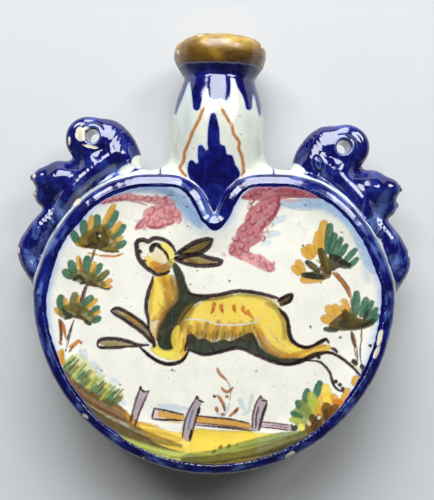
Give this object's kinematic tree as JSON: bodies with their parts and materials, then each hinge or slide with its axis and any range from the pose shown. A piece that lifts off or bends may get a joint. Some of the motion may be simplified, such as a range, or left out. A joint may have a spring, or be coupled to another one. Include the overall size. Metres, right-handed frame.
{
  "type": "pilgrim flask",
  "caption": "Heart-shaped pilgrim flask in painted tin-glazed earthenware, with a flared lip and scrolled figure handles pierced for a cord.",
  "frame": {"origin": "centre of the flask's length and width, at the level of the foot land of its back rim, on which it lies", "axes": "+X to the flask's right, +Y from the body to the mouth, +Z out of the painted front face"},
  "size_m": [0.1882, 0.2059, 0.048],
  "materials": {
    "painted_white_glaze": "glossy warm white tin glaze, crazed, hand-painted",
    "cobalt_glaze": "glossy deep cobalt blue glaze, paler where it runs thin",
    "ochre_glaze": "mottled yellow ochre glaze over an uneven lip"
  },
  "bodies": {
    "root": {"front_plaque": "painted_white_glaze", "back_plaque": "painted_white_glaze", "front_rim": "cobalt_glaze", "back_rim": "cobalt_glaze", "left_upper_wall": "painted_white_glaze", "left_lower_wall": "painted_white_glaze", "right_upper_wall": "painted_white_glaze", "right_lower_wall": "painted_white_glaze", "front_tongue": "cobalt_glaze", "back_tongue": "cobalt_glaze", "neck": "painted_white_glaze", "lip_ring": "ochre_glaze", "left_scroll": "cobalt_glaze", "left_bust": "cobalt_glaze", "left_haunch": "cobalt_glaze", "left_front_wing": "cobalt_glaze", "left_back_wing": "cobalt_glaze", "right_scroll": "cobalt_glaze", "right_bust": "cobalt_glaze", "right_haunch": "cobalt_glaze", "right_front_wing": "cobalt_glaze", "right_back_wing": "cobalt_glaze"}
  },
  "joints": []
}
